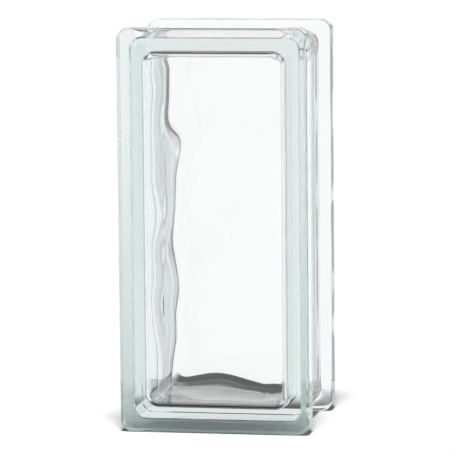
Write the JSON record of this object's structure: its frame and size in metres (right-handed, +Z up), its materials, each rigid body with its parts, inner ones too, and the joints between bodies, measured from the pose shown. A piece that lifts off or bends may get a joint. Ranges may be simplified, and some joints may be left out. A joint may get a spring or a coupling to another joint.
{
  "type": "hollow glass block",
  "caption": "Upright hollow block of clear pressed glass with wavy inner faces, a flange round each face and a mortar key round its four sides.",
  "frame": {"origin": "middle of the underside, in the plane of the seam between the two halves", "axes": "+Z up along the block's height, -Y out of the front face, +X to the right as seen from the front"},
  "size_m": [0.09, 0.08, 0.19],
  "materials": {
    "glass": "clear pressed soda-lime glass, fire polished, with a faint blue-green body tint"
  },
  "bodies": {
    "root": {"front_half": "glass", "back_half": "glass"}
  },
  "joints": []
}
